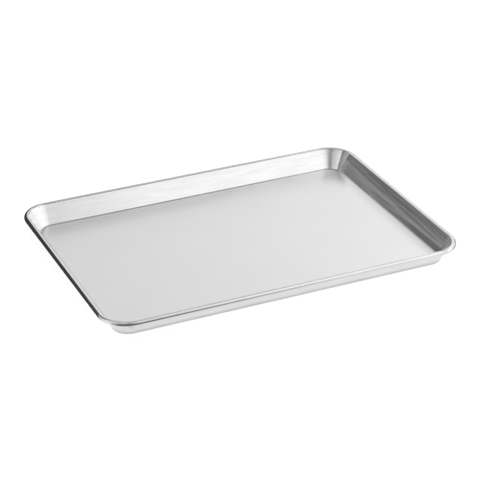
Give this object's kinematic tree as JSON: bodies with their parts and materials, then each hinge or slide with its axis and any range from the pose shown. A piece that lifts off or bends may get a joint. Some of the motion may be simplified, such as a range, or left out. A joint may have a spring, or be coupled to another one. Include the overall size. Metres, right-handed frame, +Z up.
{
  "type": "jelly roll pan",
  "caption": "Shallow rectangular baking pan drawn from one aluminium sheet, with flared walls, rounded corners and its edge rolled round a steel rim wire.",
  "frame": {"origin": "on the underside of the floor, at the middle of the pan", "axes": "+Z up out of the pan, X along the long sides, Y along the short sides; the wire's joint is in the middle of the +Y side"},
  "size_m": [0.454, 0.327, 0.0255],
  "materials": {
    "pan_shell": "satin rolled sheet, with fine grain along the long sides",
    "rim_wire": "bright drawn steel wire"
  },
  "bodies": {
    "root": {"pan_shell": "pan_shell", "rim_wire": "rim_wire"}
  },
  "joints": []
}
